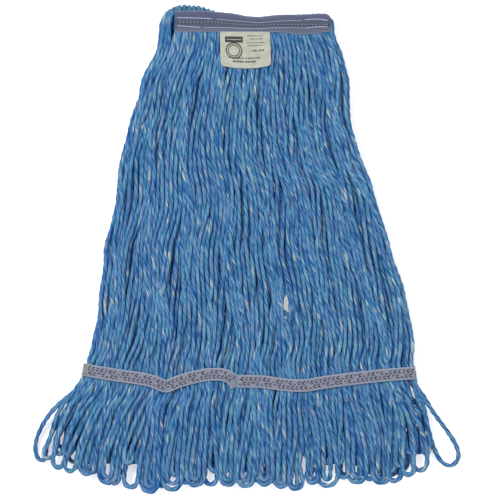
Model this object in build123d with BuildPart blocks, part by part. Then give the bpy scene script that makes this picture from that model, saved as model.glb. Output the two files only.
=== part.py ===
"""Looped-end wet mop head, lying flat and folded in half at its headband.

The mat of yarn is folded about a line along X. Its back half lies on the ground and its front
half lies on the back half, with a loop of yarn at each free end. A narrow tape is sewn round the
fold, and a tail band is sewn across each half above the loops.

Frame: +X along the headband, +Y towards the fold, +Z up. The origin is on the flat underside,
below the middle of the headband.
"""

import math
import os

from build123d import *

os.makedirs("parts", exist_ok=True)

# ---- driving dimensions, mm ------------------------------------------------------------------
YARN = 4.4  # diameter of the 4-ply yarn
CLEAR = 0.4  # gap between pieces that move against each other
SEAT = 0.05  # gap between a sewn tape and the yarn that it lies on
TAPE = 1.0  # thickness of a sewn tape
HALF = 13.0  # thickness of one half at the headband, tape included

FOLD_Y = 9.5  # outermost line of the yarn at the fold
TAPE_LEFT, TAPE_RIGHT = -75.0, 75.0  # ends of the headband tape
HEAD_LEFT, HEAD_RIGHT = -91.0, 75.5  # ends of the yarn under it
TAPE_FRONT_Y = -10.5  # lower edge of the headband tape on the front
TAPE_WIDTH = 20.0  # the headband tape laid flat
HEAD_END_Y = -14.0  # where the sewn head ends and the free strands begin
CORNER = 7.3  # radius of the yarn's two corners at the fold

STITCH_ROWS = [(0.0, -6.0), (0.0, -2.5), (0.0, 0.6)]  # middles of the headband's rows of thread
STITCH_ROW_SIZE = (148.0, 0.9)  # length and width of each row
STITCH_DEPTH = 0.4  # how deep the thread sinks into the tape

CHANNEL_HALF = 3.0  # half the height of the clamp channel
CHANNEL_Y = 1.0  # its end wall, inside the fold
LINING = 0.8  # thickness of the inner tapes
LINING_END_Y = -13.5  # lower edge of the headband's inner tape

BUNDLES = 5  # strand bundles across each half
LOBES = 5  # groups of loops across each fringe
TAIL_Y = -353.0  # where the strands end and the fringe begins
TAIL_WIDTH = 12.0  # the tail band's tape
FRINGE_MIDDLE, FRINGE_TOP = 8.6, 16.6  # heights of the fringe's middle plane and upper face

# The strands' outline: y, left edge, right edge, middle plane between the halves, upper face.
STATIONS = [
    (HEAD_END_Y, -92.0, 76.0, HALF, 24.0),
    (-60.0, -110.0, 91.0, 12.4, 24.0),
    (-165.0, -131.0, 113.5, 10.6, 20.5),
    (-300.0, -153.0, 150.5, 9.2, 17.6),
    (TAIL_Y, -170.0, 153.0, 8.8, 17.0),
]

# The front tail band's middle line. It sags in two places, as it was sewn by eye.
FRONT_TAIL_LINE = [
    (-160.5, -330.5),
    (-85.0, -344.5),
    (-52.0, -336.0),
    (-20.0, -340.0),
    (40.0, -344.5),
    (95.0, -338.5),
    (151.0, -333.5),
]
STRAIGHT_TAIL_LINE = [(-158.0, -338.0), (149.0, -338.0)]

# Two rounded corners of each group of loops: x, y and radius.
LOBE_ENDS = [
    ((-183.0, -417.0, 8.0), (-141.0, -427.0, 12.0)),
    ((-119.0, -433.0, 10.0), (-78.0, -436.0, 11.0)),
    ((-52.0, -431.0, 10.0), (4.0, -432.0, 10.0)),
    ((26.0, -432.0, 10.0), (76.0, -431.0, 10.0)),
    ((98.0, -431.0, 10.0), (150.0, -414.0, 12.0)),
]
FRINGE_LEFT, FRINGE_RIGHT = -167.5, 151.0
BACK_LOBE_RISE = 4.0  # the back loops end this much higher than the front ones

# Routes of the two loose loops, from the fringe's corner out and back to it.
RIGHT_LOOP = [
    (161.0, -357.0, 11.5),
    (169.0, -370.5, 10.0),
    (181.0, -386.0, 7.0),
    (192.0, -402.0, 4.0),
    (195.5, -415.0, 2.6),
    (187.5, -424.0, 2.4),
    (177.0, -419.0, 2.8),
    (169.5, -403.5, 4.5),
    (164.5, -385.0, 7.5),
    (161.5, -372.0, 9.5),
    (156.3, -361.5, 11.3),
]
LEFT_LOOP = [
    (-179.5, -357.0, 11.5),
    (-191.5, -367.0, 10.0),
    (-202.5, -384.0, 7.0),
    (-209.5, -401.5, 4.0),
    (-205.5, -414.0, 2.6),
    (-196.0, -412.0, 2.5),
    (-195.0, -398.0, 4.0),
    (-188.0, -383.0, 7.0),
    (-179.5, -368.0, 9.5),
    (-174.0, -360.0, 11.0),
]

LABEL_LEFT, LABEL_RIGHT = -33.0, 14.7
LABEL_TOP_Y, LABEL_BOTTOM_Y = -10.9, -44.5
LABEL_Z, LABEL_THICK = 24.35, 0.6

SPLIT_LOW = HALF - CLEAR / 2  # upper face of the back half at the fold
SPLIT_HIGH = HALF + CLEAR / 2  # lower face of the front half there
FRONT_TOP = 2 * HALF - 1.0  # outer face of the headband tape on the front
YARN_TOP = FRONT_TOP - TAPE - SEAT  # upper face of the yarn under the tape


def write(part, name):
    """Names a finished piece and writes its STEP file."""
    part.label = name
    export_step(part, f"parts/{name}.step")


# ---- the sewn head ---------------------------------------------------------------------------
def fold_yarn(name, z_split, z_outer):
    """The yarn that turns round the fold, beyond the clamp channel: a bar with one round corner."""
    up = 1 if z_outer > z_split else -1
    with BuildPart() as nose:
        with BuildSketch(Plane.YZ.offset(HEAD_LEFT)):
            with BuildLine():
                rise = Line((FOLD_Y, z_split), (FOLD_Y, z_outer - up * CORNER))
                corner = CenterArc((FOLD_Y - CORNER, z_outer - up * CORNER), CORNER, 0, up * 90)
                end_y = CHANNEL_Y + SEAT
                Polyline(corner @ 1, (end_y, z_outer), (end_y, z_split), rise @ 0)
            make_face()
        extrude(amount=HEAD_RIGHT - HEAD_LEFT)
    write(nose.part, name)


def head_yarn(name, z_inner, z_outer):
    """The flat pad of yarn that the headband stitching holds, beside the clamp channel."""
    with BuildPart() as pad:
        with BuildSketch(Plane.YZ.offset(HEAD_LEFT)):
            with BuildLine():
                Polyline(
                    (CHANNEL_Y, z_inner),
                    (CHANNEL_Y, z_outer),
                    (HEAD_END_Y, z_outer),
                    (HEAD_END_Y, z_inner),
                    close=True,
                )
            make_face()
        extrude(amount=HEAD_RIGHT - HEAD_LEFT)
    write(pad.part, name)


def headband_tape():
    """The outer tape: flat on the front half, with its upper edge bent over the fold's corner."""
    centre_y, centre_z = FOLD_Y - CORNER, YARN_TOP - CORNER
    inner_radius, outer_radius = CORNER + SEAT, CORNER + SEAT + TAPE
    turned = math.degrees((TAPE_WIDTH - (centre_y - TAPE_FRONT_Y)) / outer_radius)
    with BuildPart() as tape:
        with BuildSketch(Plane.YZ.offset(TAPE_LEFT)):
            with BuildLine():
                outer = CenterArc((centre_y, centre_z), outer_radius, 90 - turned, turned)
                inner = CenterArc((centre_y, centre_z), inner_radius, 90, -turned)
                Polyline(
                    outer @ 1,
                    (TAPE_FRONT_Y, FRONT_TOP),
                    (TAPE_FRONT_Y, FRONT_TOP - TAPE),
                    inner @ 0,
                )
                Line(inner @ 1, outer @ 0)
            make_face()
        extrude(amount=TAPE_RIGHT - TAPE_LEFT)
        with BuildSketch(Plane.XY.offset(FRONT_TOP)):
            with Locations(*STITCH_ROWS):
                Rectangle(*STITCH_ROW_SIZE)
        extrude(amount=-STITCH_DEPTH, mode=Mode.SUBTRACT)
    write(tape.part, "headband_tape")


def inner_tape():
    """The tape on the inside of the fold, opposite the outer one: it lines the clamp channel."""
    wall_y = CHANNEL_Y - SEAT
    wall_z = HALF + CHANNEL_HALF
    with BuildPart() as lining:
        with BuildSketch(Plane.YZ.offset(TAPE_LEFT)):
            with BuildLine():
                Polyline(
                    (wall_y, SPLIT_HIGH),
                    (wall_y, wall_z + LINING),
                    (LINING_END_Y, wall_z + LINING),
                    (LINING_END_Y, wall_z),
                    (wall_y - LINING, wall_z),
                    (wall_y - LINING, SPLIT_HIGH),
                    close=True,
                )
            make_face()
        extrude(amount=TAPE_RIGHT - TAPE_LEFT)
    write(lining.part, "headband_inner_tape")


def headband_stitches():
    """Three rows of thread, each pulled down into the tape's front face until it is flush."""
    with BuildPart() as rows:
        with BuildSketch(Plane.XY.offset(FRONT_TOP - STITCH_DEPTH)):
            with Locations(*STITCH_ROWS):
                Rectangle(*STITCH_ROW_SIZE)
        extrude(amount=STITCH_DEPTH)
    write(rows.part, "headband_stitches")


fold_yarn("front_fold_yarn", SPLIT_HIGH, YARN_TOP)
fold_yarn("back_fold_yarn", SPLIT_LOW, 0.0)
head_yarn("front_head_yarn", HALF + CHANNEL_HALF + LINING + SEAT, YARN_TOP)
head_yarn("back_head_yarn", HALF - CHANNEL_HALF, 0.0)
headband_tape()
inner_tape()
headband_stitches()


# ---- strands ---------------------------------------------------------------------------------
def band_outline(line, width):
    """The closed outline of a tape whose middle line runs roughly along X."""
    upper = [(x, y + width / 2) for x, y in line]
    lower = [(x, y - width / 2) for x, y in reversed(line)]
    return upper + lower


def past_the_ends(line, reach=30.0):
    """The same line, carried on beyond both of its ends, so that a groove cuts right through."""
    (x_first, y_first), (x_last, y_last) = line[0], line[-1]
    return [(x_first - reach, y_first), *line, (x_last + reach, y_last)]


def strand_bundle(name, index, front, grooves):
    """One fifth of a half's strands, lofted down the fan, with a groove for each sewn tape.

    grooves holds the tape's line, the height where the groove starts and how far it is cut.
    """
    with BuildPart() as bundle:
        for y, left, right, middle, top in STATIONS:
            low, high = (middle + CLEAR / 2, top) if front else (0.0, middle - CLEAR / 2)
            step = (right - left) / BUNDLES
            centre = (left + step * (index + 0.5), y, (low + high) / 2)
            with BuildSketch(Plane(origin=centre, x_dir=(1, 0, 0), z_dir=(0, -1, 0))):
                RectangleRounded(step - CLEAR / 2, high - low, YARN / 2)
        loft(ruled=True)
        for line, z, depth in grooves:
            with BuildSketch(Plane.XY.offset(z)):
                outline = band_outline(past_the_ends(line), TAIL_WIDTH + 2 * SEAT)
                Polygon(*outline, align=None)
            extrude(amount=depth, mode=Mode.SUBTRACT)
    write(bundle.part, name)


FRONT_OUTER_Z = 16.0  # underside of the front tail band's outer tape
FRONT_INNER_Z = 9.1  # underside of its inner tape
BACK_OUTER_Z = 0.1  # underside of the back tail band's outer tape
BACK_INNER_Z = 7.9  # underside of its inner tape

front_grooves = [
    (FRONT_TAIL_LINE, FRONT_OUTER_Z - SEAT, 5.0),
    (STRAIGHT_TAIL_LINE, FRONT_INNER_Z + LINING + SEAT, -5.0),
]
back_grooves = [
    (STRAIGHT_TAIL_LINE, BACK_OUTER_Z + TAPE + SEAT, -5.0),
    (STRAIGHT_TAIL_LINE, BACK_INNER_Z - SEAT, 5.0),
]
for number in range(BUNDLES):
    strand_bundle(f"front_yarn_{number + 1}", number, True, front_grooves)
    strand_bundle(f"back_yarn_{number + 1}", number, False, back_grooves)


# ---- tail bands ------------------------------------------------------------------------------
def tail_tape(name, line, z, thickness):
    """A flat tape sewn across the strands."""
    with BuildPart() as tape:
        with BuildSketch(Plane.XY.offset(z)):
            Polygon(*band_outline(line, TAIL_WIDTH), align=None)
        extrude(amount=thickness)
    write(tape.part, name)


def tail_stitches(name, line, z, height):
    """Two rows of chain stitch along a tail band, as raised ribs."""
    row_width, row_offset = 1.4, 2.6
    with BuildPart() as rows:
        for side in (-1, 1):
            with BuildSketch(Plane.XY.offset(z)):
                row = [(x, y + side * row_offset) for x, y in line]
                Polygon(*band_outline(row, row_width), align=None)
            extrude(amount=height)
    write(rows.part, name)


tail_tape("front_tail_tape_outer", FRONT_TAIL_LINE, FRONT_OUTER_Z, TAPE)
tail_tape("front_tail_tape_inner", STRAIGHT_TAIL_LINE, FRONT_INNER_Z, LINING)
tail_tape("back_tail_tape_outer", STRAIGHT_TAIL_LINE, BACK_OUTER_Z, TAPE)
tail_tape("back_tail_tape_inner", STRAIGHT_TAIL_LINE, BACK_INNER_Z, LINING)
tail_stitches("front_tail_stitches", FRONT_TAIL_LINE, FRONT_OUTER_Z + TAPE, 0.4)


# ---- fringe ----------------------------------------------------------------------------------
def fringe_lobe(name, index, low, high, rise):
    """A group of loops: straight where it leaves the tail band, with two rounded lower corners."""
    step = (FRINGE_RIGHT - FRINGE_LEFT) / LOBES
    left = FRINGE_LEFT + step * index + CLEAR / 2
    right = left + step - CLEAR
    start_y = TAIL_Y - 2 * CLEAR
    with BuildPart() as lobe:
        with BuildSketch(Plane.XY.offset(low)):
            with BuildLine():
                Line((left, start_y), (right, start_y))
                for x, y, radius in LOBE_ENDS[index]:
                    CenterArc((x, y + rise), radius, 0, 360)
            make_hull()
        extrude(amount=high - low)
    write(lobe.part, name)


for number in range(LOBES):
    fringe_lobe(f"front_fringe_{number + 1}", number, FRINGE_MIDDLE + CLEAR / 2, FRINGE_TOP, 0.0)
    fringe_lobe(
        f"back_fringe_{number + 1}", number, 0.0, FRINGE_MIDDLE - CLEAR / 2, BACK_LOBE_RISE
    )


def corner_radii(route):
    """For each corner, the largest arc that its two runs allow: 0.45 of the shorter run."""
    radii = []
    for before, at, after in zip(route, route[1:], route[2:]):
        run_in, run_out = Vector(*at) - Vector(*before), Vector(*after) - Vector(*at)
        half_turn = math.radians(run_in.get_angle(run_out)) / 2
        radii.append(0.45 * min(run_in.length, run_out.length) / math.tan(half_turn))
    return radii


def loose_loop(name, route):
    """One loop of yarn that lies clear of the rest, as a tube of straight runs and arcs."""
    radii = corner_radii(route)
    with BuildPart() as loop:
        with BuildLine():
            tube_line = FilletPolyline(*route, radius=radii)
        with BuildSketch(Plane(origin=tube_line @ 0, z_dir=tube_line % 0)):
            Circle(YARN / 2)
        sweep()
    length = tube_line.length
    expected = math.pi * (YARN / 2) ** 2 * length
    print(f"{name}: radii {[round(r, 1) for r in radii]}, length {length:.1f} mm, "
          f"volume {loop.part.volume:.0f} of {expected:.0f} mm3")
    write(loop.part, name)


loose_loop("right_loop", RIGHT_LOOP)
loose_loop("left_loop", LEFT_LOOP)


# ---- label -----------------------------------------------------------------------------------
with BuildPart() as label:
    with BuildSketch(Plane.XY.offset(LABEL_Z)):
        with Locations(((LABEL_LEFT + LABEL_RIGHT) / 2, (LABEL_TOP_Y + LABEL_BOTTOM_Y) / 2)):
            Rectangle(LABEL_RIGHT - LABEL_LEFT, LABEL_TOP_Y - LABEL_BOTTOM_Y)
    extrude(amount=LABEL_THICK)
    fillet(label.edges().filter_by(Axis.Z).group_by(Axis.Y)[0], radius=4.0)
write(label.part, "label")
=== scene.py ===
"""The looks of a looped-end wet mop head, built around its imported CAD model.

Lengths inside the script are in millimetres and turn into metres where a mesh is made.
"""

import math

import bpy
import numpy as np
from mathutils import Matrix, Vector


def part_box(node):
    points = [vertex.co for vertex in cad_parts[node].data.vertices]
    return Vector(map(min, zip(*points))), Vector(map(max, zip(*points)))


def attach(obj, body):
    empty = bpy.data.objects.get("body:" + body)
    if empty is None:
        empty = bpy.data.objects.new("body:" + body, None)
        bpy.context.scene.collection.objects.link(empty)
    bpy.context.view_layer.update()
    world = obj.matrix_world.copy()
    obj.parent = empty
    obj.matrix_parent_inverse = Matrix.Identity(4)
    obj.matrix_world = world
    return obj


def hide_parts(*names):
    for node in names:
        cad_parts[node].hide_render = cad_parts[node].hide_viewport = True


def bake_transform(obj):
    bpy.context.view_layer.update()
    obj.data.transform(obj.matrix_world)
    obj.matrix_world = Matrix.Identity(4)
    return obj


MM = 0.001
TURN = 2 * math.pi
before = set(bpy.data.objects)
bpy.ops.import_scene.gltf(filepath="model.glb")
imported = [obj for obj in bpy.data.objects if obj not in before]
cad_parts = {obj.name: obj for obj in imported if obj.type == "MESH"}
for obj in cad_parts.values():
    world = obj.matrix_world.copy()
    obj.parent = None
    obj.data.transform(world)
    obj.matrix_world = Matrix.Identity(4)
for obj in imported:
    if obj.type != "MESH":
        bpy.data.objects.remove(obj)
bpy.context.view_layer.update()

# ---- the head's shape, mm ----------------------------------------------------------------------
YARN = 4.4  # the yarn's diameter
ROOM = 4.7  # how far apart two strands lie
STRANDS = 140  # strands in each half
GROUPS = 5  # pieces that each half's strands are made in
SIDES = 8  # points around a strand: a peak and a valley for each of its four plies
RING_GAP = 2.1  # distance between a strand's rings
TWIST = 34.0  # one turn of the yarn
GOLDEN = 0.6180339  # spreads the strands' tints evenly
GOLDEN_TURN = 2.399  # and their first phases
SEAM_Y = -4.0  # where a strand under the headband tape meets its arc round the fold
FOLD_Z = 13.0  # height of the fold's middle
FOLD_POWER = 0.85  # how square the fold's section is; 1 is a plain ellipse
TAPE_TOP = 24.9  # outer face of the headband tape

# The outline that the strands fan out in: y, left edge, right edge.
OUTLINE = np.array([
    (5, -88, 73), (-12, -89.5, 74), (-21, -91.5, 77.5), (-28, -94, 80.5), (-36, -98, 82),
    (-45, -102.5, 84.5), (-54, -107.5, 87.5), (-63, -110.5, 88.5), (-84, -115, 89),
    (-97, -118.5, 90.2), (-113, -123, 95), (-127, -127, 99.5), (-143, -128.5, 107),
    (-157, -129, 114.5), (-173, -130, 118.5), (-193, -135, 122.8), (-210, -141.5, 126.5),
    (-226, -144, 131), (-248, -147, 139), (-287, -151.5, 148), (-308, -155.5, 150),
    (-322, -160.5, 148.5), (-333, -163, 150.5), (-341, -163, 152.5), (-355, -166.5, 156),
    (-363, -174, 158), (-378, -178.5, 162), (-402, -180, 166), (-420, -182, 166), (-450, -185, 160),
], float)

# Middle plane between the halves and upper face of the front one: y, middle, top.
HEIGHTS = np.array([
    (5, 13, 23.9), (-14, 13, 24.0), (-60, 12.4, 24.0), (-165, 10.6, 20.5), (-300, 9.2, 17.6),
    (-350, 8.7, 16.9), (-450, 8.4, 16.4),
], float)

# The yarn's outermost line at the fold, x and y: it bulges at the left and dips in the middle.
NOSE = np.array([
    (-92, -4), (-90, 1), (-86.5, 6.5), (-82, 11), (-76.5, 15), (-69, 17.2), (-61, 16.4), (-53, 16.2),
    (-45.5, 13.6), (-37, 10.6), (-23, 8.8), (-8, 5), (4, 4.2), (20, 6.3), (41, 7.8), (60, 8.8),
    (67, 8.4), (71, 5.5), (75, -2.5),
], float)
TAPE_LEFT, TAPE_RIGHT = -75.6, 72.0
TAPE_WIDTH = 20.0
TAPE_EDGE = np.array([
    (-76, -10.0), (-48, -9.8), (13, -10.2), (28, -10.5), (40, -12.3), (51, -12.3), (60, -11.0), (73, -9.4),
], float)

# The front tail band's middle line: it sags in two places, and is cut between its two lengths.
TAIL_LEFT = np.array([
    (-163.5, -329.8), (-148, -332.8), (-132, -335.4), (-116, -337.5), (-101, -340.0),
    (-91, -343.6), (-84.5, -346.6), (-78, -343.6), (-70, -340.6), (-61, -338.0), (-46, -334.8),
    (-33, -334.4), (-25, -336.4), (-19, -341.5), (-17, -346.5),
], float)
TAIL_RIGHT = np.array([
    (-17.5, -341.2), (-5, -341.3), (8, -341.6), (21, -343.6), (34, -345.2), (49, -345.2),
    (65, -342.4), (80, -340.2), (96, -338.3), (120, -335.6), (138, -334.2), (152.5, -333.3),
], float)
BACK_TAIL_Y = -338.0
TAIL_WIDTH = 12.0

# The long loops on top of the front fringe: middle x, width at the bottom, lowest y.
NEST_WIDTH = 14.5  # a long loop at least this wide has a smaller loop inside it
LONG_LOOPS = [
    (-196, 8, -415), (-187, 11, -424), (-175.5, 11, -427.5), (-160, 16, -430.5), (-140, 17, -439),
    (-118, 14, -443), (-100, 17, -447.5), (-79, 19, -445.5), (-57, 17, -441.5), (-42, 14, -440.5),
    (-26, 15, -441), (-9, 16, -442), (9, 16, -440.5), (25, 15, -442.5), (39, 14, -444.5),
    (55, 12, -438.5), (69, 18, -442), (83, 11, -433.5), (97, 17, -438.5), (109, 10, -435),
    (120, 16, -439), (133, 14, -437), (146, 12, -431), (157, 14, -427),
]

# Where strands part and the ground shows through: x, y, half the gap's width and half its length.
GAPS = [
    (29.5, -270.0, 2.4, 12.0), (46.3, -422.0, 2.2, 8.0), (144.2, -388.5, 1.4, 4.5),
    (-184.0, -395.5, 1.8, 5.5), (152.3, -364.0, 2.4, 11.5), (-117.5, -431.0, 3.4, 9.0),
    (-141.0, -425.5, 1.4, 4.0), (-75.5, -437.0, 1.5, 3.5), (75.3, -428.0, 1.8, 6.0),
    (156.0, -417.5, 4.0, 5.0), (-186.8, -417.2, 2.2, 3.6),
]
CREASE = (-78.0, -1.0, 1.5, 13.0)  # the same in the front half only, next to the headband tape's end

RIGHT_LOOP = [
    (161.0, -357.0, 11.5), (169.0, -370.5, 10.0), (181.0, -386.0, 7.0), (192.0, -402.0, 4.0),
    (195.5, -415.0, 2.6), (187.5, -424.0, 2.4), (177.0, -419.0, 2.8), (169.5, -403.5, 4.5),
    (164.5, -385.0, 7.5), (161.5, -372.0, 9.5), (156.3, -361.5, 11.3),
]
LEFT_LOOP = [
    (-179.5, -357.0, 11.5), (-191.5, -367.0, 10.0), (-203.0, -383.5, 7.0), (-210.3, -401.0, 4.0),
    (-208.5, -416.5, 2.6), (-200.0, -418.0, 2.5), (-199.5, -404.5, 4.0), (-191.5, -387.0, 7.0),
    (-181.0, -370.5, 9.5), (-174.0, -360.0, 11.0),
]


def between(table, at, column=1):
    """A column of a table of stations, read at a value of its first column."""
    order = np.argsort(table[:, 0])
    return np.interp(at, table[order, 0], table[order, column])


def tail_y(x):
    """The front tail band's middle line at x."""
    return between(np.vstack([TAIL_LEFT[:-2], TAIL_RIGHT]), x)


def back_tail_y(x):
    return np.full_like(np.asarray(x, float), BACK_TAIL_Y)


def smooth(t):
    """0 up to 0, 1 from 1 on, and a smooth rise between."""
    t = np.clip(t, 0.0, 1.0)
    return t * t * (3 - 2 * t)


def bell(off, width):
    return np.exp(-((off / width) ** 2))


def eased(values, share, rounds=1):
    """The same rows of values, each moved a share of the way to the middle of its two neighbours."""
    values = values.copy()
    for _ in range(rounds):
        values[1:-1] += share * (0.5 * (values[:-2] + values[2:]) - values[1:-1])
    return values


def run(points):
    """The distance along a line from its start to each of its points."""
    return np.concatenate([[0], np.cumsum(np.linalg.norm(np.diff(points, axis=0), axis=1))])


def unit(vectors):
    return vectors / np.linalg.norm(vectors, axis=-1, keepdims=True)


def at_distances(points, at):
    """Points on a line, at distances from its start."""
    return np.stack([np.interp(at, run(points), points[:, k]) for k in range(3)], 1)


def even(points, gap=RING_GAP):
    """The same line as points about gap apart."""
    length = run(points)[-1]
    return at_distances(points, np.linspace(0, length, max(4, int(round(length / gap)) + 1)))


# ---- how the strands lie -----------------------------------------------------------------------
SLICE_GAP = 6.0
SLICE_Y = np.arange(SEAM_Y, -446.0, -SLICE_GAP)
STEPS = 260  # rounds of settling
SINK = 0.05  # how far a strand sinks in a round
NEIGHBOURS = 8  # strands to each side, in order of x, that one strand can touch
LOOP_ENDS_Y = -405.0  # the gaps below this y are between the ends of loops
STRAND_END = -356.0  # where a strand that belongs to no loop ends
FRINGE_Y = -330.0  # strands stay within the outline above this y
BAND_SLICE = 57  # a slice that lies near the tail band
BAND_WIDTH = 9.0  # how far the tail band's pinch reaches up and down the strands
HEAD_LOW, HEAD_HIGH = 16.9, 10.0  # under the headband: the front half's lower face, the back's upper


def wander(rng, count):
    """A slow sideways drift for each strand: how far it strays from its straight line at each y."""
    drift = np.zeros((len(SLICE_Y), count))
    for size, short, long in ((2.6, 170, 330), (1.5, 90, 150), (0.6, 40, 70)):
        length = rng.uniform(short, long, count)
        phase = rng.uniform(0, TURN, count)
        turn = TURN * SLICE_Y[:, None] / length + phase
        drift += size * rng.uniform(0.4, 1.3, count) * np.sin(turn)
    return drift


def clumps(rng, across):
    """A drift that neighbouring strands share, which gathers them into loose groups."""
    drift = np.zeros((len(SLICE_Y), len(across)))
    for waves, size in ((7, 2.6), (13, 1.9), (23, 1.2)):
        turn = waves * across + rng.uniform(-0.004, 0.004) * SLICE_Y[:, None]
        drift += size * np.sin(TURN * turn + rng.uniform(0, 6.3))
    return drift * smooth((-SLICE_Y[:, None] - 15) / 60)


def parted(x, gaps, share):
    """Moves the strands that lie in a gap towards its edges."""
    for gap_x, gap_y, half_width, half_length in gaps:
        inside = 1 - ((SLICE_Y - gap_y) / half_length) ** 2
        reach = np.where(inside > 0, half_width * np.sqrt(np.abs(inside)) + YARN / 2, 0)[:, None]
        off = x - gap_x
        x = x + share * np.where(np.abs(off) < reach, np.sign(off + 1e-9) * reach - off, 0)
    return x


def settle(target, hold, level, live, low, high, width, gaps):
    """Lets the strands find their places: rows are slices in y, columns are strands.

    Each strand is drawn to its target x, sinks, is pushed off its neighbours and off the gaps,
    and is kept smooth along its length. Returns x and z.
    """
    x, z = target.copy(), level.copy()
    away = 1e6 + 50.0 * np.arange(STRANDS)  # where strands that have ended can touch nothing
    for step in range(STEPS):
        ease = 0.5 if step < STEPS * 0.8 else 0.3
        x += hold * (target - x)
        z -= SINK
        shown_x = np.where(live, x, away)
        order = np.argsort(shown_x, axis=1)
        sx, sz, sw = (np.take_along_axis(values, order, 1) for values in (shown_x, z, width))
        move_x, move_z = np.zeros_like(sx), np.zeros_like(sz)
        for k in range(1, NEIGHBOURS + 1):
            dx, dz = sx[:, k:] - sx[:, :-k], sz[:, k:] - sz[:, :-k]
            gap = np.hypot(dx, dz) + 1e-6
            push = np.clip(0.5 * (sw[:, k:] + sw[:, :-k]) - gap, 0, None) * 0.5 * ease / gap
            move_x[:, k:] += push * dx
            move_x[:, :-k] -= push * dx
            move_z[:, k:] += push * dz
            move_z[:, :-k] -= push * dz
        rank = np.argsort(order, axis=1)
        x = parted(x + np.take_along_axis(move_x, rank, 1), gaps, 0.5)
        z += np.take_along_axis(move_z, rank, 1)
        x, z = target + eased(x - target, 0.35, 2), eased(z, 0.35, 2)
        z = np.clip(z, low + width / 2, high - width / 2)
    x = parted(x, gaps, 0.8)
    x[0], z[0] = x[1], z[1]
    return x, z


def clear_of_gaps(plan):
    """Shortens the small loops that would hang into a gap between the long ones."""
    for gap_x, gap_y, half_width, half_length in GAPS:
        reach = half_width + plan[:, 1] / 2 + YARN / 2
        hangs = (plan[:, 4] == 0) & (np.abs(plan[:, 0] - gap_x) < reach) & (gap_y < LOOP_ENDS_Y)
        plan[hangs, 2] = np.maximum(plan[hangs, 2], gap_y + half_length + YARN / 2)
    return plan


def loop_plan(rng, front):
    """Middle x, width, lowest y, place on top and kind of each loop of a half, from left to right.

    Kind 1 is a long loop on top, and kind 2 a loop nested inside one.
    """
    long_loops = np.array(sorted(LONG_LOOPS), float)

    def small_loops(x, lift, widths, tops):
        bottom = np.interp(x, long_loops[:, 0], long_loops[:, 2]) + rng.uniform(*lift, len(x))
        return np.stack([x, rng.uniform(*widths, len(x)), bottom, rng.uniform(*tops, len(x)), 0 * x], 1)

    if not front:
        count = STRANDS // 2
        x = np.linspace(-185, 158, count) + rng.uniform(-4, 4, count)
        return clear_of_gaps(small_loops(x, (3, 20), (7, 12), (0, 1)))
    tops = rng.uniform(0.75, 1.0, len(long_loops))
    wide = long_loops[:, 1] >= NEST_WIDTH
    nested = long_loops[wide] - (0, 2 * YARN, 0)
    nested[:, 2] += YARN * rng.uniform(0.9, 1.5, len(nested))
    count = STRANDS // 2 - 2 - len(long_loops) - len(nested)
    x = np.linspace(-188, 162, count) + rng.uniform(-3, 3, count)
    plan = clear_of_gaps(np.vstack([
        np.column_stack([long_loops, tops, np.ones(len(tops))]),
        np.column_stack([nested, tops[wide] - 0.05, np.full(len(nested), 2.0)]),
        small_loops(x, (1, 13), (6, 11), (0, 0.6)),
    ]))
    return plan[np.argsort(plan[:, 0] + 0.01 * plan[:, 4])]


def strand_pairs(plan, first):
    """The two strands of each loop. A nested loop's strands lie inside its outer loop's."""
    pairs, strand = [], first
    number = 0
    while number < len(plan):
        if plan[number, 4] == 1 and number + 1 < len(plan) and plan[number + 1, 4] == 2:
            pairs += [(strand, strand + 3), (strand + 1, strand + 2)]
            strand, number = strand + 4, number + 2
        else:
            pairs.append((strand, strand + 1))
            strand, number = strand + 2, number + 1
    return pairs


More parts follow.
